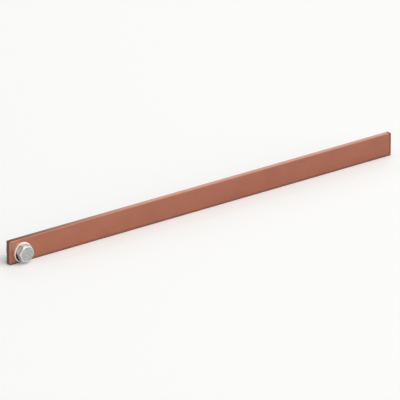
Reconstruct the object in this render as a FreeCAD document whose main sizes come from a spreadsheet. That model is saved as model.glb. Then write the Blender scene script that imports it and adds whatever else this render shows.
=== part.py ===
import FreeCAD, Part
import os
import Sketcher

# Copper busbar with a bolted end.
# Frame: +X along the bar from the bolt end to the plain end, +Z up across the bar's width,
# and the face with the bolt head looks towards -Y. The origin is the middle of the lower edge.

doc = FreeCAD.newDocument("busbar_with_bolt")

# Driving dimensions, in millimetres and degrees
SIZES = [
    ("bar_length", 400, "copper bar from end to end"),
    ("bar_width", 20, "copper bar, lower edge to upper edge"),
    ("bar_thickness", 5, "copper bar, front face to back face"),
    ("edge_radius", 0.8, "rounding of the bar's edges, rolled along it and filed at its cut ends"),
    ("hole_inset", 12.2, "bolt axis from the bar's end"),
    ("hole_height", 8.8, "bolt axis above the bar's lower edge"),
    ("hole_clearance", 0.5, "gap round the bolt in the bar's hole"),
    ("thread_diameter", 8, "outside diameter of the bolt's thread"),
    ("bolt_length", 16, "bolt from under its head to its tip"),
    ("tip_chamfer", 0.8, "bevel at the bolt's tip"),
    ("head_flats", 13, "bolt head across its flats"),
    ("head_height", 5.3, "bolt head from its bearing face to its top"),
    ("head_turn", 24, "turn of the bolt head from flats upright"),
    ("bearing_setback", 0.6, "round bearing face under the head, in from the flats"),
    ("bearing_height", 0.6, "round bearing face under the head, proud of the hexagon"),
    ("nut_flats", 13, "nut across its flats"),
    ("nut_height", 6.5, "nut from face to face"),
    ("nut_turn", 3, "turn of the nut from flats upright"),
    ("countersink", 0.5, "bevel at both mouths of the nut's thread"),
    ("thread_clearance", 0.05, "gap round the bolt's thread in the nut"),
    ("corner_radius", 1, "rounding of a hexagon's upright corners"),
    ("face_setback", 0.8, "round end face of a hexagon, in from its flats"),
    ("crown_angle", 30, "slope of the bevel that rounds a hexagon's corners"),
    ("cut_margin", 1, "reach of a turning cut past a hexagon's corners"),
    ("washer_outside", 17, "washer's outside diameter"),
    ("washer_thickness", 1.6, "washer's thickness"),
    ("washer_clearance", 0.2, "gap round the bolt in a washer"),
    ("washer_roll", 0.5, "rounding of the washer's outer rim from punching"),
]

sheet = doc.addObject("Spreadsheet::Sheet", "Sizes")
for row, (alias, value, note) in enumerate(SIZES, start=1):
    sheet.set(f"A{row}", alias)
    sheet.set(f"B{row}", str(value))
    sheet.setAlias(f"B{row}", alias)
    sheet.set(f"C{row}", note)
doc.recompute()

# Sizes that follow from the driving ones, as expressions
HALF_THICKNESS = "Sizes.bar_thickness / 2"
BOLT_RADIUS = "Sizes.thread_diameter / 2"
HOLE_RADIUS = f"{BOLT_RADIUS} + Sizes.hole_clearance"
WASHER_BORE_RADIUS = f"{BOLT_RADIUS} + Sizes.washer_clearance"
NUT_BORE_RADIUS = f"{BOLT_RADIUS} + Sizes.thread_clearance"
HEAD_BEARING_RADIUS = "Sizes.head_flats / 2 - Sizes.bearing_setback"

# Local Z of a piece on the bolt axis points out of the bar's front face or out of its back face
ACROSS = FreeCAD.Vector(1, 0, 0)
OUT_OF_FRONT = FreeCAD.Rotation(ACROSS, 90)
OUT_OF_BACK = FreeCAD.Rotation(ACROSS, -90)

# Sketch lines start at a rough size, before their constraints settle them
ROUGH = 10.0
UP = FreeCAD.Vector(0, 0, 1)
TINY = 1e-6


def new_body(label):
    body = doc.addObject("PartDesign::Body", label)
    body.Label = label
    return body


def new_sketch(body, name, role):
    """Empty sketch on one of the body's own origin planes."""
    sketch = body.newObject("Sketcher::SketchObject", name)
    plane = next(o for o in body.Origin.OriginFeatures if o.Role == role)
    sketch.AttachmentSupport = [(plane, "")]
    sketch.MapMode = "FlatFace"
    return sketch


def drive(sketch, expression, *constraint):
    """Add a constraint whose value follows an expression."""
    index = sketch.addConstraint(Sketcher.Constraint(*constraint, ROUGH))
    sketch.setExpression(f"Constraints[{index}]", expression)


def ring_of_lines(sketch, count):
    """Closed ring of straight lines, roughly a regular polygon with its first corner on top."""
    turns = [FreeCAD.Rotation(UP, 360 * i / count) for i in range(count)]
    corners = [turn.multVec(FreeCAD.Vector(0, ROUGH, 0)) for turn in turns]
    for i in range(count):
        sketch.addGeometry(Part.LineSegment(corners[i], corners[(i + 1) % count]), False)
    for i in range(count):
        sketch.addConstraint(Sketcher.Constraint("Coincident", i, 2, (i + 1) % count, 1))


def outline(sketch, points):
    """Closed outline through corners given as pairs of expressions.

    A coordinate is an expression for a distance from the sketch's axis, the same with a
    leading minus for a distance the other way, or "0" on the axis itself.
    """
    ring_of_lines(sketch, len(points))
    for line, (across, up) in enumerate(points):
        for kind, axis, value in (("DistanceX", -2, across), ("DistanceY", -1, up)):
            if value == "0":
                sketch.addConstraint(Sketcher.Constraint("PointOnObject", line, 1, axis))
            elif value.startswith("-"):
                drive(sketch, value[1:], kind, line, 1, -1, 1)
            else:
                drive(sketch, value, kind, -1, 1, line, 1)


def hexagon(sketch, flats):
    """Regular hexagon about the sketch's origin, with two flats upright."""
    ring_of_lines(sketch, 6)
    round_corners = sketch.addGeometry(Part.Circle(FreeCAD.Vector(), UP, ROUGH), True)
    sketch.addConstraint(Sketcher.Constraint("Coincident", round_corners, 3, -1, 1))
    for line in range(6):
        sketch.addConstraint(Sketcher.Constraint("PointOnObject", line, 1, round_corners))
    for line in range(1, 6):
        sketch.addConstraint(Sketcher.Constraint("Equal", 0, line))
    sketch.addConstraint(Sketcher.Constraint("PointOnObject", 0, 1, -2))
    drive(sketch, f"{flats} / 2", "Distance", -1, 1, 1)


def pad(body, sketch, name, length):
    feature = body.newObject("PartDesign::Pad", name)
    feature.Profile = sketch
    feature.setExpression("Length", length)
    return feature


def turned(body, kind, name, sketch):
    """Revolution or Groove of a sketch about its upright axis."""
    feature = body.newObject(kind, name)
    feature.Profile = sketch
    feature.ReferenceAxis = (sketch, ["V_Axis"])
    feature.Angle = 360
    return feature


def rounded(body, name, base, wanted, radius):
    """Fillet of those edges of a base feature that are wanted."""
    doc.recompute()
    edges = [f"Edge{i}" for i, edge in enumerate(base.Shape.Edges, start=1) if wanted(edge)]
    feature = body.newObject("PartDesign::Fillet", name)
    feature.Base = (base, edges)
    feature.setExpression("Radius", radius)
    return feature


def hexagon_prism(body, name, sketch, height):
    """Upright hexagon with the rounded corners of a forged one."""
    prism = pad(body, sketch, name, height)
    rounded(body, f"{name}_corners", prism, is_upright_edge, "Sizes.corner_radius")


def crown(body, name, flats, height):
    """Turn the bevel that rounds a hexagon's corners at its upper end, or at its foot at height 0."""
    face = f"{flats} / 2 - Sizes.face_setback"
    reach = f"{flats} / sqrt(3) + Sizes.cut_margin"
    fall = f"(({reach}) - ({face})) * tan(Sizes.crown_angle)"
    corner = fall if height == "0" else f"{height} - {fall}"
    sketch = new_sketch(body, f"{name}_profile", "XZ_Plane")
    outline(sketch, [(face, height), (reach, height), (reach, corner)])
    turned(body, "PartDesign::Groove", name, sketch)


def seat(body, rotation, depth):
    """Put a piece on the bolt axis at a depth from the bar's middle, front to back."""
    body.Placement = FreeCAD.Placement(FreeCAD.Vector(), rotation)
    body.setExpression("Placement.Base.x", "Sizes.hole_inset - Sizes.bar_length / 2")
    body.setExpression("Placement.Base.y", depth)
    body.setExpression("Placement.Base.z", "Sizes.hole_height")


def is_any_edge(edge):
    return True


def is_upright_edge(edge):
    return edge.BoundBox.ZLength > TINY


def is_washer_rim(edge):
    """The washer's larger circle on the side away from the bar."""
    box = edge.BoundBox
    return box.XLength > sheet.washer_outside - TINY and box.ZMin > sheet.washer_thickness - TINY


def make_busbar():
    """Rolled flat bar, cut square and filed, with one clearance hole near its bolt end."""
    body = new_body("busbar")
    front = new_sketch(body, "bar_front", "XZ_Plane")
    half = "Sizes.bar_length / 2"
    outline(front, [
        ("-" + half, "0"),
        (half, "0"),
        (half, "Sizes.bar_width"),
        ("-" + half, "Sizes.bar_width"),
    ])
    bar = pad(body, front, "bar", "Sizes.bar_thickness")
    bar.SideType = "Symmetric"
    blank = rounded(body, "rounded_edges", bar, is_any_edge, "Sizes.edge_radius")
    place = new_sketch(body, "hole_place", "XZ_Plane")
    place.addGeometry(Part.Circle(FreeCAD.Vector(-ROUGH, ROUGH, 0), UP, ROUGH), False)
    drive(place, f"{half} - Sizes.hole_inset", "DistanceX", 0, 3, -1, 1)
    drive(place, "Sizes.hole_height", "DistanceY", -1, 1, 0, 3)
    drive(place, HOLE_RADIUS, "Radius", 0)
    hole = body.newObject("PartDesign::Pocket", "bolt_hole")
    hole.Profile = place
    hole.Type = "ThroughAll"
    hole.SideType = "Symmetric"
    doc.recompute()
    if not hole.Shape.Volume < blank.Shape.Volume:
        raise RuntimeError("the bolt hole cuts nothing")
    return body


def make_hex_bolt():
    """Bolt with a crowned hexagon head, a round bearing face and a bevelled tip."""
    body = new_body("hex_bolt")
    section = new_sketch(body, "head_hexagon", "XY_Plane")
    hexagon(section, "Sizes.head_flats")
    section.setExpression("AttachmentOffset.Base.z", "Sizes.bearing_height")
    section.setExpression("AttachmentOffset.Rotation.Angle", "Sizes.head_turn")
    hexagon_prism(body, "head", section, "Sizes.head_height - Sizes.bearing_height")
    crown(body, "head_crown", "Sizes.head_flats", "Sizes.head_height")
    profile = new_sketch(body, "shank_profile", "XZ_Plane")
    outline(profile, [
        ("0", "Sizes.bearing_height"),
        (HEAD_BEARING_RADIUS, "Sizes.bearing_height"),
        (HEAD_BEARING_RADIUS, "0"),
        (BOLT_RADIUS, "0"),
        (BOLT_RADIUS, "-(Sizes.bolt_length - Sizes.tip_chamfer)"),
        (f"{BOLT_RADIUS} - Sizes.tip_chamfer", "-Sizes.bolt_length"),
        ("0", "-Sizes.bolt_length"),
    ])
    turned(body, "PartDesign::Revolution", "shank", profile)
    seat(body, OUT_OF_FRONT, f"-({HALF_THICKNESS} + Sizes.washer_thickness)")
    return body


def make_washer(label, rotation, depth):
    """Punched plain washer, its outer rim rolled over on the side away from the bar."""
    body = new_body(label)
    profile = new_sketch(body, f"{label}_profile", "XZ_Plane")
    rim_radius = "Sizes.washer_outside / 2"
    outline(profile, [
        (WASHER_BORE_RADIUS, "0"),
        (rim_radius, "0"),
        (rim_radius, "Sizes.washer_thickness"),
        (WASHER_BORE_RADIUS, "Sizes.washer_thickness"),
    ])
    disc = turned(body, "PartDesign::Revolution", f"{label}_disc", profile)
    rounded(body, f"{label}_rim", disc, is_washer_rim, "Sizes.washer_roll")
    seat(body, rotation, depth)
    return body


def make_hex_nut():
    """Nut with both ends crowned and both mouths of its thread countersunk."""
    body = new_body("hex_nut")
    section = new_sketch(body, "nut_hexagon", "XY_Plane")
    hexagon(section, "Sizes.nut_flats")
    section.setExpression("AttachmentOffset.Rotation.Angle", "Sizes.nut_turn")
    hexagon_prism(body, "nut_blank", section, "Sizes.nut_height")
    crown(body, "nut_crown", "Sizes.nut_flats", "Sizes.nut_height")
    crown(body, "nut_foot", "Sizes.nut_flats", "0")
    profile = new_sketch(body, "thread_profile", "XZ_Plane")
    mouth = f"{NUT_BORE_RADIUS} + Sizes.countersink"
    outline(profile, [
        ("0", "0"),
        (mouth, "0"),
        (NUT_BORE_RADIUS, "Sizes.countersink"),
        (NUT_BORE_RADIUS, "Sizes.nut_height - Sizes.countersink"),
        (mouth, "Sizes.nut_height"),
        ("0", "Sizes.nut_height"),
    ])
    turned(body, "PartDesign::Groove", "nut_thread", profile)
    seat(body, OUT_OF_BACK, f"{HALF_THICKNESS} + Sizes.washer_thickness")
    return body


pieces = [
    make_busbar(),
    make_hex_bolt(),
    make_washer("front_washer", OUT_OF_FRONT, f"-{HALF_THICKNESS}"),
    make_washer("rear_washer", OUT_OF_BACK, HALF_THICKNESS),
    make_hex_nut(),
]
doc.recompute()

for item in doc.Objects:
    if "Invalid" in item.State or "Error" in item.State:
        raise RuntimeError(f"{item.Label} did not build: {item.State}")
for piece in pieces:
    shape = piece.Shape
    if shape.isNull() or not shape.isValid() or len(shape.Solids) != 1:
        raise RuntimeError(f"{piece.Label} is not one valid solid")

os.makedirs("parts", exist_ok=True)
for piece in pieces:
    piece.Shape.exportStep(os.path.join("parts", f"{piece.Label}.step"))
    print(piece.Label, round(piece.Shape.Volume, 2), "mm3")
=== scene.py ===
import math

import bmesh
import bpy
from bpy.props import FloatProperty, FloatVectorProperty, PointerProperty
from bpy.types import NodeSocket, Operator, Panel, PropertyGroup
from mathutils import Matrix, Vector


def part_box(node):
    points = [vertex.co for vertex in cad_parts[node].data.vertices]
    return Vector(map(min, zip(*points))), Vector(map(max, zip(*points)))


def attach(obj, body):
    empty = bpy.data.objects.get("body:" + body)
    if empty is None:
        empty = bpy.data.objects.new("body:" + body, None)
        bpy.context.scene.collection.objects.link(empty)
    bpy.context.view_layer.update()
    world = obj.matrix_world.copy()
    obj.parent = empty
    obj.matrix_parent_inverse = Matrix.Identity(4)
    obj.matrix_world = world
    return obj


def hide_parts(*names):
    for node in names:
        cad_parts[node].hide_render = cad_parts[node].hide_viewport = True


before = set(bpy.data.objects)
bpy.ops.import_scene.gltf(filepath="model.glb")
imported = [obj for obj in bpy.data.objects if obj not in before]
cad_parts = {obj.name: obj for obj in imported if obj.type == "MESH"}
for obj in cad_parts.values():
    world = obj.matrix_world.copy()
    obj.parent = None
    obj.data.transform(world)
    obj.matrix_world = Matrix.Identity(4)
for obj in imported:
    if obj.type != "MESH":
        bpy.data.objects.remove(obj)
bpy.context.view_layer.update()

bl_info = {
    "name": "Copper busbar",
    "version": (1, 0, 0),
    "blender": (4, 5, 0),
    "location": "3D View > Sidebar > Busbar",
    "description": "Copper busbar with a bolted end: its finishes, its fasteners and a plain studio",
    "category": "Object",
}

# Frame: +X along the bar from the bolt end to the plain end, +Z up across its width,
# and the face with the bolt head looks towards -Y. Lengths are in metres.
MM = 0.001

# Body that all pieces ride on
BODY = "root"

# Where the solids are, as the frame has them
BAR_LOW, BAR_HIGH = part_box("busbar")
BOLT_LOW, BOLT_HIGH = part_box("hex_bolt")
NUT_LOW, NUT_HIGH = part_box("hex_nut")
WASHER_LOW, WASHER_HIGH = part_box("front_washer")

# The bolt's own axis: heights run out of the bar's front face, from 0 at the seat under the head
WASHER_MIDDLE = (WASHER_LOW + WASHER_HIGH) / 2
BOLT_SEAT = Vector((WASHER_MIDDLE.x, WASHER_LOW.y, WASHER_MIDDLE.z))
BOLT_AXIS = Matrix.Translation(BOLT_SEAT) @ Matrix.Rotation(math.radians(90), 4, "X")
HEAD_TOP = BOLT_SEAT.y - BOLT_LOW.y
BOLT_TIP = BOLT_SEAT.y - BOLT_HIGH.y
NUT_SEAT = BOLT_SEAT.y - NUT_LOW.y
NUT_END = BOLT_SEAT.y - NUT_HIGH.y
BAR_FRONT = BOLT_SEAT.y - BAR_LOW.y
BAR_BACK = BOLT_SEAT.y - BAR_HIGH.y
WASHER_THICKNESS = WASHER_HIGH.y - WASHER_LOW.y
WASHER_RADIUS = (WASHER_HIGH.x - WASHER_LOW.x) / 2

# Fineness of the meshes
FLAT_STEPS = 10
CORNER_STEPS = 4
ROUND_STEPS = 4
WASHER_STEPS = 120
SAME_PLACE = 0.001 * MM
SHARP_ANGLE = math.radians(28)
SIXTH = math.radians(60)
FULL_TURN = 2 * math.pi

# Profile of a thread: the angle between its flanks, and roots, flanks and crests in parts of its pitch
THREAD_ANGLE = math.radians(60)
ROOT_FLAT = 1 / 4
FLANK = 5 / 16
CREST_FLAT = 1 / 8

# A bolt head's flat middle, as a share of its end face, and the lean of a washer's torn rim
FLAT_MIDDLE = 0.9
TEAR_LEAN = 1 / 8

# Parts of a normal between which a surface comes to count as the bar's upper edge or cut end,
# or as a hexagon's end face
UPPER_FROM, UPPER_FULL = 0.75, 0.95
CUT_FROM, CUT_FULL = 0.5, 0.8
FACE_FROM, FACE_FULL = 0.93, 0.99

# Levels of a pattern between which clouds, the brown at the edges (oxidised copper and painted shade)
# and the zinc's green and rose patches come in
CLOUDS_FROM, CLOUDS_FULL = 0.35, 0.7
BROWN_FROM, BROWN_FULL = 0.25, 0.75
GREEN_FROM, GREEN_FULL = 0.52, 0.34
ROSE_FROM, ROSE_FULL = 0.48, 0.66

# Part of the band beside a cut that is brown all through
FULLY_BROWN = 1 / 3

# Power that makes the painted shade on the upper edge fall off faster at first
TOP_SHADE_FALL = 1.5

# Sockets of a Mix node that mixes colours
MIX_SHARE, MIX_FIRST, MIX_SECOND, MIXED = 0, 6, 7, 2

# Studio: how far the floor and the lamps reach out, and where the light comes from, seen from the bar
FLOOR_REACH = 15
LAMP_DISTANCE = 4.5
SKY_DIRECTION = Vector((0.3, -0.95, 0))
KEY_DIRECTION = Vector((0.3, -0.55, 0.78))
BACK_DIRECTION = Vector((0.59, 0.72, 0.42))


def linear(hex_colour):
    """Linear colour with full alpha from an sRGB hex value."""
    channels = [int(hex_colour[i:i + 2], 16) / 255 for i in (1, 3, 5)]
    light = [c / 12.92 if c <= 0.04045 else ((c + 0.055) / 1.055) ** 2.4 for c in channels]
    return (*light, 1.0)


def length(name, description, millimetres):
    """Setting for a length."""
    return FloatProperty(
        name=name, description=description, default=millimetres * MM, unit="LENGTH", precision=5)


def angle(name, description, degrees):
    """Setting for an angle."""
    return FloatProperty(
        name=name, description=description, default=math.radians(degrees), subtype="ANGLE")


def share(name, description, part):
    """Setting for a share from 0 to 1."""
    return FloatProperty(
        name=name, description=description, default=part, min=0, max=1, subtype="FACTOR")


def colour(name, description, hex_colour):
    """Setting for a colour."""
    return FloatVectorProperty(
        name=name, description=description, default=linear(hex_colour), size=4, min=0, max=1,
        subtype="COLOR")


class BarSettings(PropertyGroup):
    """Finish of the copper bar"""

    copper: colour("Copper", "Rolled copper, dulled in air", "#B4755F")
    tarnish: colour("Tarnish", "Browner copper, in clouds and towards the plain end", "#A66C5A")
    # Lighter copper beside the washer: partly cleaned by rubbing, partly a painted highlight that lifts
    # the shade there
    rubbed_highlight: colour("Rubbed copper", "Cleaner copper, rubbed beside the washer", "#CA947C")
    # Painted sheen: paler copper on the upper edge, where the top catches the light
    top_sheen: colour("Dusty copper", "Copper on the upper edge, dulled by dust", "#BD8875")
    # Brown: oxidised copper at the cuts, painted shade on the end faces, along the lower edge and on the
    # upper edge by the bolt end
    brown: colour("Brown", "Oxide on the cut ends and along the edges", "#7E5643")
    streak_width: length("Streak width", "Width of a streak left by the rolls", 0.8)
    streak_length: length("Streak length", "Length of a streak left by the rolls", 120)
    streak_depth: length("Streak depth", "Depth of the streaks", 0.02)
    streak_relief: share("Streak relief", "How strongly that depth shows", 0.3)
    streaking: share("Streaking", "How far the streaks change the colour", 0.15)
    cloud_size: length("Cloud size", "Size of a tarnish cloud", 22)
    clouding: share("Clouding", "Tarnish in the clouds", 0.5)
    ageing: share("Ageing", "Tarnish at the plain end", 0.6)
    # Place and size of that lighter spot, partly a painted highlight
    highlight_inset: length("Rub inset", "Middle of the rubbed spot, in from the end and the upper edge", 4.3)
    highlight_size: length("Rub size", "Radius of the rubbed spot", 6)
    blotch_size: length("Blotch size", "Size of the blotches in the brown", 2.5)
    blotching: share("Blotching", "How far the blotches break up the brown", 0.35)
    # Brown bands: partly oxidised copper at the cuts, painted shade on the end faces and along the lower
    # edge
    torn_reach: length("Torn reach", "How far past its middle a sheared end is brown from the back", 1.1)
    torn_blur: length("Torn blur", "Stretch over which that brown fades", 0.5)
    cut_band: length("Cut band", "Brown band on the faces beside the plain end's cut", 3.4)
    lower_band: length("Lower band", "Brown band along the lower edge", 3.4)
    # Painted shade on the upper edge, fading from the bolt end
    top_shade_length: length("Stain length", "Stretch over which the brown of the upper edge fades", 150)
    smooth: share("Smooth", "Roughness of the smoothest streaks", 0.34)
    rough: share("Rough", "Roughness of the dullest streaks", 0.46)
    brown_rough: share("Brown roughness", "Roughness of the oxide", 0.75)
    brown_metal: share("Brown metal", "Metallic share of the oxide", 0.45)


class FastenerSettings(PropertyGroup):
    """Shape of the bolt, the nut and the washers"""

    flats: length("Across flats", "Bolt head and nut, from flat to flat", 13)
    head_turn: angle("Head turn", "Turn of the bolt head from flats upright", 24)
    nut_turn: angle("Nut turn", "Turn of the nut from flats upright, seen from the front", -3)
    face_setback: length("Face setback", "Round end face of a hexagon, in from its flats", 0.8)
    crown_angle: angle("Crown angle", "Slope of the bevel that rounds a hexagon's corners", 30)
    corner_round: length("Corner rounding", "Rounding of a hexagon's upright corners", 1)
    edge_round: length("Edge rounding", "Rounding of a hexagon's other edges", 0.12)
    bearing_radius: length("Bearing face", "Radius of the round bearing face under the head", 5.9)
    bearing_height: length("Bearing height", "Bearing face, proud of the hexagon", 0.6)
    thread_radius: length("Thread radius", "Outside radius of the bolt's thread", 4)
    pitch: length("Pitch", "Distance from one turn of the thread to the next", 1.25)
    thread_gap: length("Thread gap", "Gap between the bolt's thread and the nut's", 0.05)
    tip_bevel: length("Tip bevel", "Bevel at the bolt's tip", 0.8)
    neck: length("Neck", "Unthreaded length under the head", 0.6)
    countersink: length("Countersink", "Bevel at the mouths of the nut's thread", 0.5)
    washer_bore: length("Washer bore", "Radius of a washer's hole", 4.2)
    washer_roll: length("Washer roll", "Rounding of a washer's rim on its punched side", 0.5)
    bore_roll: length("Bore roll", "Rounding of a washer's hole on its punched side", 0.25)
    washer_tear: length("Torn rim", "Height of a washer's rim that tore away in the punch", 0.5)


class ZincSettings(PropertyGroup):
    """Finish of the bolt, the nut and the washers"""

    plate: colour("Zinc plate", "Clear passivated zinc", "#AFB1AC")
    plate_green: colour("Green cast", "Zinc where the passivation looks green", "#99A19B")
    plate_rose: colour("Rose cast", "Zinc where the passivation looks rose", "#C5C0BB")
    bright_plate: colour("Bright zinc", "Zinc on the bevels, the flanks and the thread", "#CFD4D5")
    washer_plate: colour("Washer plate", "Bright zinc of the washers", "#F8F2EC")
    # Painted shade, near black, on the front washer round the foot of the bolt head
    head_shade: colour("Oil", "Oil and dust in the corner under the bolt head", "#2A2521")
    shade_reach: length("Oil reach", "Radius that the oil spreads to", 8.2)
    shade_blur: length("Oil blur", "Stretch over which the oil thins out", 0.5)
    shade_height: length("Oil height", "Height above the axis at which the oil begins", 2)
    mottle: length("Mottle", "Size of the patches in the zinc", 1.8)
    mottling: share("Mottling", "How far the patches change a washer's colour", 0.3)
    grain: length("Grain", "Size of the grain in the zinc", 0.3)
    grain_depth: length("Grain depth", "Depth of that grain", 0.02)
    grain_relief: share("Grain relief", "How strongly that depth shows", 0.4)
    metal: share("Metal", "Metallic share of the zinc", 0.85)
    smooth: share("Smooth", "Roughness of the smoothest patches", 0.38)
    rough: share("Rough", "Roughness of the dullest patches", 0.52)
    washer_smooth: share("Washer smooth", "Roughness of a washer's smoothest patches", 0.2)
    washer_rough: share("Washer rough", "Roughness of a washer's dullest patches", 0.44)


class StageSettings(PropertyGroup):
    """Floor, light and camera"""

    floor: colour("Floor", "Pale matt floor", "#FCFCFB")
    sky_behind: FloatProperty(name="Sky behind", description="Light from behind", default=0.25)
    sky_front: FloatProperty(name="Sky in front", description="Light from the front", default=1.21)
    key_size: length("Key size", "Width of the lamp above the front", 4200)
    key_power: FloatProperty(
        name="Key power", description="Lamp above the front", default=73, unit="POWER")
    back_size: length("Back size", "Width of the low lamp behind", 3200)
    back_power: FloatProperty(
        name="Back power", description="Low lamp behind", default=31, unit="POWER")
    azimuth: angle("Azimuth", "Camera's turn from the front, to the bolt end", 39.18)
    elevation: angle("Elevation", "Camera's height above the floor", 20.71)
    distance: length("Distance", "Camera from the point it looks at", 4820)
    aim: FloatVectorProperty(
        name="Aim", description="Point that the camera looks at", default=(-0.0035, 0, 0.00805),
        subtype="XYZ", unit="LENGTH", precision=5)
    lens: FloatProperty(name="Lens", description="Focal length in millimetres", default=533.3)


def add(tree, kind, inputs=None, out=0, **settings):
    """Add a node with its settings and its inputs' values or links, and return one of its outputs."""
    node = tree.nodes.new(kind)
    for name, value in settings.items():
        setattr(node, name, value)
    for key, value in (inputs or {}).items():
        if isinstance(value, NodeSocket):
            tree.links.new(value, node.inputs[key])
        else:
            node.inputs[key].default_value = value
    return node.outputs[out] if node.outputs else None


def new_material(name):
    """Material, new or emptied to be made again, and the tree of its nodes."""
    material = bpy.data.materials.get(name) or bpy.data.materials.new(name)
    material.use_nodes = True
    material.node_tree.nodes.clear()
    return material, material.node_tree


def copper_colour(tree, bar, spot, on_top, streaks):
    """Colour of the copper where it isn't brown."""
    # Tarnish in clouds and towards the plain end
    along = add(tree, "ShaderNodeSeparateXYZ", {"Vector": spot}, out="X")
    clouds = add(tree, "ShaderNodeTexNoise", {
        "Vector": spot, "Scale": 1 / bar.cloud_size, "Detail": 3})
    cloudy = add(tree, "ShaderNodeMapRange", {
        "Value": clouds, "From Min": CLOUDS_FROM, "From Max": CLOUDS_FULL, "To Max": bar.clouding})
    aged = add(tree, "ShaderNodeMapRange", {
        "Value": along, "From Min": BAR_LOW.x, "From Max": BAR_HIGH.x, "To Max": bar.ageing})
    dull = add(tree, "ShaderNodeMath", {0: cloudy, 1: aged}, operation="ADD", use_clamp=True)
    even = add(tree, "ShaderNodeMix", {
        MIX_SHARE: dull, MIX_FIRST: bar.copper, MIX_SECOND: bar.tarnish}, MIXED, data_type="RGBA")

    # Lighter spot between the washer and the bolt end's upper corner, partly copper cleaned by rubbing
    # and partly a painted highlight, and a painted sheen on the upper edge
    highlight_middle = (BAR_LOW.x + bar.highlight_inset, BAR_LOW.y, BAR_HIGH.z - bar.highlight_inset)
    from_highlight = add(tree, "ShaderNodeVectorMath", {0: spot, 1: highlight_middle}, "Value", operation="DISTANCE")
    in_highlight = add(tree, "ShaderNodeMapRange", {
        "Value": from_highlight, "From Min": bar.highlight_size, "From Max": 0})
    highlighted = add(tree, "ShaderNodeMix", {
        MIX_SHARE: in_highlight, MIX_FIRST: even, MIX_SECOND: bar.rubbed_highlight}, MIXED, data_type="RGBA")
    # Painted sheen: the upper edge paler, where the top catches the light
    upper = add(tree, "ShaderNodeMix", {
        MIX_SHARE: on_top, MIX_FIRST: highlighted, MIX_SECOND: bar.top_sheen}, MIXED, data_type="RGBA")
    return add(tree, "ShaderNodeMix", {
        MIX_SHARE: bar.streaking, MIX_FIRST: upper, MIX_SECOND: streaks},
        MIXED, data_type="RGBA", blend_type="SOFT_LIGHT")


def brown_share(tree, bar, spot, on_end, on_top):
    """How far the copper is brown: oxidised copper at the cuts, painted shade on the end faces, along
    the lower edge and on the upper edge by the bolt end.
    """
    # On the cut ends and along the lower edge, in blotches: partly oxidised copper at the cuts, painted
    # shade on the end faces and along the lower edge
    along, depth, above = add(tree, "ShaderNodeSeparateXYZ", {"Vector": spot}).node.outputs
    in_torn = add(tree, "ShaderNodeMapRange", {
        "Value": depth, "From Min": -bar.torn_reach - bar.torn_blur, "From Max": -bar.torn_reach})
    torn = add(tree, "ShaderNodeMath", {0: on_end, 1: in_torn}, operation="MULTIPLY")
    beside_cut = add(tree, "ShaderNodeMapRange", {
        "Value": along, "From Min": BAR_HIGH.x - bar.cut_band,
        "From Max": BAR_HIGH.x - bar.cut_band * FULLY_BROWN})
    at_ends = add(tree, "ShaderNodeMath", {0: torn, 1: beside_cut}, operation="MAXIMUM")
    at_foot = add(tree, "ShaderNodeMapRange", {
        "Value": above, "From Min": BAR_LOW.z + bar.lower_band, "From Max": BAR_LOW.z})
    edges = add(tree, "ShaderNodeMath", {0: at_ends, 1: at_foot}, operation="MAXIMUM")
    blotches = add(tree, "ShaderNodeTexNoise", {
        "Vector": spot, "Scale": 1 / bar.blotch_size, "Detail": 4})
    uneven = add(tree, "ShaderNodeMapRange", {
        "Value": blotches, "To Min": -bar.blotching, "To Max": bar.blotching})
    patchy = add(tree, "ShaderNodeMath", {0: edges, 1: uneven}, operation="ADD")
    oxide_and_shade = add(tree, "ShaderNodeMapRange", {
        "Value": patchy, "From Min": BROWN_FROM, "From Max": BROWN_FULL})

    # Painted shade on the upper edge, brown and darkest at the bolt end, fading along the bar
    toward_bolt_end = add(tree, "ShaderNodeMapRange", {
        "Value": along, "From Min": BAR_LOW.x + bar.top_shade_length, "From Max": BAR_LOW.x})
    fading = add(tree, "ShaderNodeMath", {0: toward_bolt_end, 1: TOP_SHADE_FALL}, operation="POWER")
    top_shade = add(tree, "ShaderNodeMath", {0: fading, 1: on_top}, operation="MULTIPLY")
    return add(tree, "ShaderNodeMath", {0: oxide_and_shade, 1: top_shade}, operation="MAXIMUM")


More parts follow.
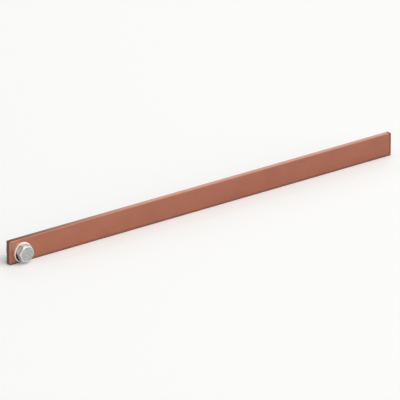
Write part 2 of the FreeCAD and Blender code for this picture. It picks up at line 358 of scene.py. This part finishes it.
def rolled_copper(bar):
    """Rolled flat copper, dulled in air: satin and even, with faint streaks along it from the rolls
    and soft tarnish clouds, brown and dull on its cut ends, along its lower edge and on its upper edge
    by the bolt end: oxidised copper at the cuts, painted shade on the end faces and on both edges."""
    material, tree = new_material("air_dulled_copper")
    coordinates = add(tree, "ShaderNodeTexCoord").node.outputs
    spot = coordinates["Object"]
    normal = coordinates["Normal"]
    facing_along, _, facing_up = add(tree, "ShaderNodeSeparateXYZ", {"Vector": normal}).node.outputs
    facing_end = add(tree, "ShaderNodeMath", {0: facing_along}, operation="ABSOLUTE")
    on_end = add(tree, "ShaderNodeMapRange", {
        "Value": facing_end, "From Min": CUT_FROM, "From Max": CUT_FULL})
    on_top = add(tree, "ShaderNodeMapRange", {
        "Value": facing_up, "From Min": UPPER_FROM, "From Max": UPPER_FULL})

    # Real streaks are a tenth of a millimetre wide, too fine to show, so these are coarser
    across = 1 / bar.streak_width
    stretched = add(tree, "ShaderNodeVectorMath", {
        0: spot, 1: (1 / bar.streak_length, across, across)}, operation="MULTIPLY")
    streaks = add(tree, "ShaderNodeTexNoise", {"Vector": stretched, "Scale": 1, "Detail": 3})

    copper = copper_colour(tree, bar, spot, on_top, streaks)
    brown = brown_share(tree, bar, spot, on_end, on_top)
    finish = add(tree, "ShaderNodeMix", {
        MIX_SHARE: brown, MIX_FIRST: copper, MIX_SECOND: bar.brown}, MIXED, data_type="RGBA")
    metallic = add(tree, "ShaderNodeMapRange", {"Value": brown, "To Min": 1, "To Max": bar.brown_metal})
    satin = add(tree, "ShaderNodeMapRange", {
        "Value": streaks, "To Min": bar.smooth, "To Max": bar.rough})
    roughness = add(tree, "ShaderNodeMapRange", {
        "Value": brown, "To Min": satin, "To Max": bar.brown_rough})
    relief = add(tree, "ShaderNodeBump", {
        "Height": streaks, "Strength": bar.streak_relief, "Distance": bar.streak_depth})
    shader = add(tree, "ShaderNodeBsdfPrincipled", {
        "Base Color": finish, "Metallic": metallic, "Roughness": roughness, "Normal": relief})
    add(tree, "ShaderNodeOutputMaterial", {"Surface": shader})
    return material


def zinc_grain(tree, zinc, spot):
    """Relief of the zinc's grain."""
    # Real grain is hundredths of a millimetre across, too fine to show, so this is coarser
    grain = add(tree, "ShaderNodeTexNoise", {"Vector": spot, "Scale": 1 / zinc.grain, "Detail": 2})
    return add(tree, "ShaderNodeBump", {
        "Height": grain, "Strength": zinc.grain_relief, "Distance": zinc.grain_depth})


def hazy_zinc(zinc):
    """Zinc-plated steel, clear passivated: a hazy grey metal with faint green and rose patches,
    duller on a hexagon's end faces than on its bevels and flanks. The bolt and the nut share it."""
    material, tree = new_material("clear_passivated_zinc")
    coordinates = add(tree, "ShaderNodeTexCoord").node.outputs
    spot = coordinates["Object"]
    patches = add(tree, "ShaderNodeTexNoise", {"Vector": spot, "Scale": 1 / zinc.mottle, "Detail": 2})
    to_green = add(tree, "ShaderNodeMapRange", {
        "Value": patches, "From Min": GREEN_FROM, "From Max": GREEN_FULL})
    to_rose = add(tree, "ShaderNodeMapRange", {
        "Value": patches, "From Min": ROSE_FROM, "From Max": ROSE_FULL})
    green = add(tree, "ShaderNodeMix", {
        MIX_SHARE: to_green, MIX_FIRST: zinc.plate, MIX_SECOND: zinc.plate_green},
        MIXED, data_type="RGBA")
    rose = add(tree, "ShaderNodeMix", {
        MIX_SHARE: to_rose, MIX_FIRST: green, MIX_SECOND: zinc.plate_rose}, MIXED, data_type="RGBA")
    facing = add(tree, "ShaderNodeSeparateXYZ", {"Vector": coordinates["Normal"]}, out="Y")
    outward = add(tree, "ShaderNodeMath", {0: facing}, operation="ABSOLUTE")
    on_face = add(tree, "ShaderNodeMapRange", {
        "Value": outward, "From Min": FACE_FROM, "From Max": FACE_FULL})
    finish = add(tree, "ShaderNodeMix", {
        MIX_SHARE: on_face, MIX_FIRST: zinc.bright_plate, MIX_SECOND: rose}, MIXED, data_type="RGBA")
    roughness = add(tree, "ShaderNodeMapRange", {
        "Value": patches, "To Min": zinc.smooth, "To Max": zinc.rough})
    shader = add(tree, "ShaderNodeBsdfPrincipled", {
        "Base Color": finish, "Metallic": zinc.metal, "Roughness": roughness,
        "Normal": zinc_grain(tree, zinc, spot)})
    add(tree, "ShaderNodeOutputMaterial", {"Surface": shader})
    return material


def bright_zinc(zinc):
    """Bright zinc on the punched washers: pale, a little warm and faintly patchy, with painted shade,
    near black, on the front one round the foot of the bolt head, on its lower side."""
    material, tree = new_material("bright_zinc")
    spot = add(tree, "ShaderNodeTexCoord", out="Object")
    patches = add(tree, "ShaderNodeTexNoise", {"Vector": spot, "Scale": 1 / zinc.mottle, "Detail": 2})
    metal = add(tree, "ShaderNodeMix", {
        MIX_SHARE: zinc.mottling, MIX_FIRST: zinc.washer_plate, MIX_SECOND: patches},
        MIXED, data_type="RGBA", blend_type="SOFT_LIGHT")

    # Painted shade lies in front of the bar, close round the bolt head and below the axis
    from_axis = add(tree, "ShaderNodeVectorMath", {0: spot, 1: BOLT_SEAT}, operation="SUBTRACT")
    across = add(tree, "ShaderNodeVectorMath", {0: from_axis, 1: (1, 0, 1)}, operation="MULTIPLY")
    radius = add(tree, "ShaderNodeVectorMath", {0: across}, "Value", operation="LENGTH")
    height = add(tree, "ShaderNodeSeparateXYZ", {"Vector": from_axis}, out="Z")
    depth = add(tree, "ShaderNodeSeparateXYZ", {"Vector": spot}, out="Y")
    near = add(tree, "ShaderNodeMapRange", {
        "Value": radius, "From Min": zinc.shade_reach, "From Max": zinc.shade_reach - zinc.shade_blur})
    below = add(tree, "ShaderNodeMapRange", {
        "Value": height, "From Min": zinc.shade_height, "From Max": 0})
    in_front = add(tree, "ShaderNodeMapRange", {
        "Value": depth, "From Min": BAR_HIGH.y, "From Max": BAR_LOW.y})
    # Painted shade near the head and below the axis, dark and dull in place of the metal
    near_and_below = add(tree, "ShaderNodeMath", {0: near, 1: below}, operation="MULTIPLY")
    shaded = add(tree, "ShaderNodeMath", {0: near_and_below, 1: in_front}, operation="MULTIPLY")
    finish = add(tree, "ShaderNodeMix", {
        MIX_SHARE: shaded, MIX_FIRST: metal, MIX_SECOND: zinc.head_shade}, MIXED, data_type="RGBA")
    metallic = add(tree, "ShaderNodeMapRange", {"Value": shaded, "To Min": zinc.metal, "To Max": 0})
    roughness = add(tree, "ShaderNodeMapRange", {
        "Value": patches, "To Min": zinc.washer_smooth, "To Max": zinc.washer_rough})
    shader = add(tree, "ShaderNodeBsdfPrincipled", {
        "Base Color": finish, "Metallic": metallic, "Roughness": roughness,
        "Normal": zinc_grain(tree, zinc, spot)})
    add(tree, "ShaderNodeOutputMaterial", {"Surface": shader})
    return material


def around(radius, turn, height):
    """Point at a radius, a turn and a height on the bolt's axis."""
    return Vector((radius * math.cos(turn), radius * math.sin(turn), height))


def flat_end(flats, corner_round):
    """Turn from the middle of a hexagon's flat to the start of its rounded corner."""
    return math.atan2((flats / 2 - corner_round) * math.tan(SIXTH / 2), flats / 2)


def hexagon_reach(turn, flats, corner_round):
    """Distance from the axis to a hexagon with rounded corners, whose first flat faces turn 0."""
    off_flat = abs((turn + SIXTH / 2) % SIXTH - SIXTH / 2)
    if off_flat <= flat_end(flats, corner_round):
        return flats / 2 / math.cos(off_flat)
    off_corner = SIXTH / 2 - off_flat
    centre = (flats / 2 - corner_round) / math.cos(SIXTH / 2)
    aside = centre * math.sin(off_corner)
    return centre * math.cos(off_corner) + math.sqrt(corner_round ** 2 - aside ** 2)


def hexagon_turns(first, fastener):
    """Turns round a hexagon, even along its flats and closer together round its corners."""
    end = flat_end(fastener.flats, fastener.corner_round)
    turns = []
    for side in range(6):
        middle = first + side * SIXTH
        turns += [middle + end * (2 * i / FLAT_STEPS - 1) for i in range(FLAT_STEPS + 1)]
        turns += [middle + end + (SIXTH - 2 * end) * i / CORNER_STEPS for i in range(1, CORNER_STEPS)]
    return turns


def rounded(corners):
    """Outline through corners given as radius, height and rounding, with a curve at each rounded one."""
    places = [Vector(corner[:2]) for corner in corners]
    path = []
    for i, corner in enumerate(places):
        size = corners[i][2]
        if not size:
            path.append(corner)
            continue
        back = places[i - 1] - corner
        on = places[(i + 1) % len(places)] - corner
        cut = size * math.tan((math.pi - back.angle(on)) / 2)
        start = corner + back.normalized() * cut
        end = corner + on.normalized() * cut
        for step in range(ROUND_STEPS + 1):
            t = step / ROUND_STEPS
            path.append((1 - t) ** 2 * start + 2 * t * (1 - t) * corner + t ** 2 * end)
    return path


def rings_from(turns, outline_at):
    """Rings round the axis, through the same points of the outline at each turn."""
    outlines = [outline_at(turn) for turn in turns]
    return [[around(outline[row].x, turn, outline[row].y) for turn, outline in zip(turns, outlines)]
            for row in range(len(outlines[0]))]


def thread_depth(fastener):
    """Height of the thread's ridges."""
    return fastener.pitch * FLANK / math.tan(THREAD_ANGLE / 2)


def thread_rings(turns, fastener, radius, low, high, held):
    """Rings along a right-hand thread between two heights, and how many of them one pitch takes.

    The thread's ridges reach the radius, and held(radius, height) keeps its ends in shape.
    """
    pitch = fastener.pitch
    root = radius - thread_depth(fastener)
    crest = ROOT_FLAT + FLANK
    rows = [(root, 0), (root, ROOT_FLAT), (radius, crest), (radius, crest + CREST_FLAT)]
    climb = [pitch * turn / FULL_TURN for turn in turns]
    first = math.floor((low - climb[-1]) / pitch) - 1
    last = math.ceil((high - climb[0]) / pitch) + 1
    rings = []
    for number in range(first, last + 1):
        for row_radius, part in rows:
            ring = []
            for turn, rise in zip(turns, climb):
                height = min(max((number + part) * pitch + rise, low), high)
                ring.append(around(held(row_radius, height), turn, height))
            rings.append(ring)
    return rings, len(rows)


def skin(mesh, rings, lead=0):
    """Faces between rings. On a thread the last point of a ring joins the first one, lead rings on."""
    grid = [[mesh.verts.new(place) for place in ring] for ring in rings]
    columns = len(rings[0])
    for row in range(len(rings) - 1 - lead):
        for column in range(columns):
            if column + 1 < columns:
                right, lift = column + 1, 0
            else:
                right, lift = 0, lead
            mesh.faces.new((grid[row][column], grid[row + lift][right],
                            grid[row + lift + 1][right], grid[row + 1][column]))


def cap(mesh, ring):
    """Flat face that closes a ring."""
    mesh.faces.new([mesh.verts.new(place) for place in ring])


def link(name, data):
    """Object in the scene from a mesh, a lamp or a camera."""
    thing = bpy.data.objects.new(name, data)
    bpy.context.scene.collection.objects.link(thing)
    return thing


def new_piece(name, mesh, node, material):
    """Piece of plated steel from a mesh on the bolt's axis, in place of a solid."""
    bmesh.ops.remove_doubles(mesh, verts=mesh.verts, dist=SAME_PLACE)
    bmesh.ops.recalc_face_normals(mesh, faces=mesh.faces)
    mesh.transform(BOLT_AXIS)
    data = bpy.data.meshes.new(name)
    mesh.to_mesh(data)
    mesh.free()
    data.shade_smooth()
    data.set_sharp_from_angle(angle=SHARP_ANGLE)
    data.materials.append(material)
    piece = link(name, data)
    even = piece.modifiers.new("even_normals", "WEIGHTED_NORMAL")
    even.keep_sharp = True
    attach(piece, BODY)
    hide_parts(node)


class BUSBAR_OT_copper_bar(Operator):
    """Give the copper bar its rolled finish"""

    bl_idname = "busbar.copper_bar"
    bl_label = "Copper bar"

    def execute(self, context):
        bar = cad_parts["busbar"]
        bar.data.materials.clear()
        bar.data.materials.append(rolled_copper(context.scene.busbar_bar))
        return {"FINISHED"}


class BUSBAR_OT_hex_bolt(Operator):
    """Make the hexagon bolt with its crowned head and its thread"""

    bl_idname = "busbar.hex_bolt"
    bl_label = "Hexagon bolt"

    def execute(self, context):
        fastener = context.scene.busbar_fastener
        turns = hexagon_turns(fastener.head_turn, fastener)
        face = fastener.flats / 2 - fastener.face_setback
        core = fastener.thread_radius - thread_depth(fastener)
        soft = fastener.edge_round

        def head_outline(turn):
            reach = hexagon_reach(turn - fastener.head_turn, fastener.flats, fastener.corner_round)
            shoulder = HEAD_TOP - (reach - face) * math.tan(fastener.crown_angle)
            return rounded([
                (core, -fastener.neck, 0),
                (core, 0, soft),
                (fastener.bearing_radius, 0, soft),
                (fastener.bearing_radius, fastener.bearing_height, soft),
                (reach, fastener.bearing_height, soft),
                (reach, shoulder, soft),
                (face, HEAD_TOP, soft),
                (face * FLAT_MIDDLE, HEAD_TOP, 0),
            ])

        def held(radius, height):
            # A 45 degree bevel at the tip, and a thread that runs out to its core under the head
            tip = fastener.thread_radius - fastener.tip_bevel + height - BOLT_TIP
            run_out = core - fastener.neck - height
            return min(radius, tip, run_out)

        mesh = bmesh.new()
        head = rings_from(turns, head_outline)
        thread, lead = thread_rings(
            turns, fastener, fastener.thread_radius, BOLT_TIP, -fastener.neck, held)
        skin(mesh, head)
        skin(mesh, thread, lead)
        cap(mesh, head[-1])
        cap(mesh, thread[0])
        new_piece("hex_bolt_threaded", mesh, "hex_bolt", hazy_zinc(context.scene.busbar_zinc))
        return {"FINISHED"}


class BUSBAR_OT_hex_nut(Operator):
    """Make the hexagon nut with both its ends crowned and its thread"""

    bl_idname = "busbar.hex_nut"
    bl_label = "Hexagon nut"

    def execute(self, context):
        fastener = context.scene.busbar_fastener
        turns = hexagon_turns(fastener.nut_turn, fastener)
        face = fastener.flats / 2 - fastener.face_setback
        bore = fastener.thread_radius + fastener.thread_gap
        mouth = bore + fastener.countersink
        soft = fastener.edge_round

        def nut_outline(turn):
            reach = hexagon_reach(turn - fastener.nut_turn, fastener.flats, fastener.corner_round)
            fall = (reach - face) * math.tan(fastener.crown_angle)
            return rounded([
                (mouth, NUT_END, 0),
                (face, NUT_END, soft),
                (reach, NUT_END + fall, soft),
                (reach, NUT_SEAT - fall, soft),
                (face, NUT_SEAT, soft),
                (mouth, NUT_SEAT, 0),
            ])

        def held(radius, height):
            # A 45 degree countersink at each mouth
            return max(radius, mouth - (height - NUT_END), mouth - (NUT_SEAT - height))

        mesh = bmesh.new()
        skin(mesh, rings_from(turns, nut_outline))
        skin(mesh, *thread_rings(turns, fastener, bore, NUT_END, NUT_SEAT, held))
        new_piece("hex_nut_threaded", mesh, "hex_nut", hazy_zinc(context.scene.busbar_zinc))
        return {"FINISHED"}


class BUSBAR_OT_washers(Operator):
    """Make the two punched washers"""

    bl_idname = "busbar.washers"
    bl_label = "Washers"

    def execute(self, context):
        fastener = context.scene.busbar_fastener
        material = bright_zinc(context.scene.busbar_zinc)
        turns = [FULL_TURN * i / WASHER_STEPS for i in range(WASHER_STEPS)]
        lean = fastener.washer_tear * TEAR_LEAN
        for name, node, foot, out in (
                ("front_washer_punched", "front_washer", BAR_FRONT, 1),
                ("rear_washer_punched", "rear_washer", BAR_BACK, -1)):
            top = foot + out * WASHER_THICKNESS
            tear = foot + out * fastener.washer_tear
            profile = rounded([
                (fastener.washer_bore + lean, foot, 0),
                (WASHER_RADIUS - lean, foot, 0),
                (WASHER_RADIUS, tear, 0),
                (WASHER_RADIUS, top, fastener.washer_roll),
                (fastener.washer_bore, top, fastener.bore_roll),
                (fastener.washer_bore, tear, 0),
            ])
            mesh = bmesh.new()
            rings = rings_from(turns, lambda turn: profile)
            skin(mesh, rings + rings[:1])
            new_piece(name, mesh, node, material)
        return {"FINISHED"}


def make_floor(stage):
    """Wide matt floor."""
    material, tree = new_material("matt_paper")
    shader = add(tree, "ShaderNodeBsdfDiffuse", {"Color": stage.floor})
    add(tree, "ShaderNodeOutputMaterial", {"Surface": shader})
    mesh = bmesh.new()
    bmesh.ops.create_grid(mesh, x_segments=1, y_segments=1, size=FLOOR_REACH)
    data = bpy.data.meshes.new("floor")
    mesh.to_mesh(data)
    mesh.free()
    data.materials.append(material)
    link("floor", data)


def make_sky(stage):
    """Soft light from all round, strongest in front at the plain end's side."""
    world = bpy.data.worlds.new("studio")
    bpy.context.scene.world = world
    world.use_nodes = True
    tree = world.node_tree
    tree.nodes.clear()
    direction = add(tree, "ShaderNodeTexCoord", out="Generated")
    to_front = add(tree, "ShaderNodeVectorMath", {0: direction, 1: SKY_DIRECTION}, "Value",
                   operation="DOT_PRODUCT")
    level = add(tree, "ShaderNodeMapRange", {
        "Value": to_front, "From Min": -1, "From Max": 1,
        "To Min": stage.sky_behind, "To Max": stage.sky_front})
    sky = add(tree, "ShaderNodeBackground", {"Color": stage.floor, "Strength": level})
    add(tree, "ShaderNodeOutputWorld", {"Surface": sky})


def make_lamp(name, direction, size, power):
    """Large soft lamp, turned to face the bar."""
    data = bpy.data.lights.new(name, "AREA")
    data.size = size
    data.energy = power
    lamp = link(name, data)
    lamp.location = direction.normalized() * LAMP_DISTANCE
    lamp.rotation_euler = direction.to_track_quat("Z", "Y").to_euler()
    lamp.visible_camera = False


def make_camera(stage):
    """Camera at the side of the bolt end, looking down on the bar."""
    back = Vector((-math.sin(stage.azimuth) * math.cos(stage.elevation),
                   -math.cos(stage.azimuth) * math.cos(stage.elevation),
                   math.sin(stage.elevation)))
    data = bpy.data.cameras.new("camera")
    data.lens = stage.lens
    camera = link("camera", data)
    camera.location = Vector(stage.aim) + back * stage.distance
    camera.rotation_euler = back.to_track_quat("Z", "Y").to_euler()
    bpy.context.scene.camera = camera


class BUSBAR_OT_stage(Operator):
    """Make the floor, the light and the camera"""

    bl_idname = "busbar.stage"
    bl_label = "Stage"

    def execute(self, context):
        stage = context.scene.busbar_stage
        context.scene.view_settings.view_transform = "Standard"
        make_floor(stage)
        make_sky(stage)
        make_lamp("key_lamp", KEY_DIRECTION, stage.key_size, stage.key_power)
        make_lamp("back_lamp", BACK_DIRECTION, stage.back_size, stage.back_power)
        make_camera(stage)
        return {"FINISHED"}


OPERATORS = (
    BUSBAR_OT_copper_bar,
    BUSBAR_OT_hex_bolt,
    BUSBAR_OT_hex_nut,
    BUSBAR_OT_washers,
    BUSBAR_OT_stage,
)
SETTINGS = {
    "busbar_bar": BarSettings,
    "busbar_fastener": FastenerSettings,
    "busbar_zinc": ZincSettings,
    "busbar_stage": StageSettings,
}


class BUSBAR_PT_panel(Panel):
    """Settings and steps of the busbar"""

    bl_label = "Busbar"
    bl_space_type = "VIEW_3D"
    bl_region_type = "UI"
    bl_category = "Busbar"

    def draw(self, context):
        for name, group in SETTINGS.items():
            box = self.layout.box()
            box.label(text=group.__doc__)
            for setting in group.__annotations__:
                box.prop(getattr(context.scene, name), setting)
        for operator in OPERATORS:
            self.layout.operator(operator.bl_idname)


def register():
    for name, group in SETTINGS.items():
        bpy.utils.register_class(group)
        setattr(bpy.types.Scene, name, PointerProperty(type=group))
    for shown in (*OPERATORS, BUSBAR_PT_panel):
        bpy.utils.register_class(shown)


def unregister():
    for shown in (BUSBAR_PT_panel, *reversed(OPERATORS)):
        bpy.utils.unregister_class(shown)
    for name, group in SETTINGS.items():
        delattr(bpy.types.Scene, name)
        bpy.utils.unregister_class(group)


def main():
    register()
    bpy.ops.busbar.copper_bar()
    bpy.ops.busbar.hex_bolt()
    bpy.ops.busbar.hex_nut()
    bpy.ops.busbar.washers()
    bpy.ops.busbar.stage()


if __name__ == "__main__":
    main()
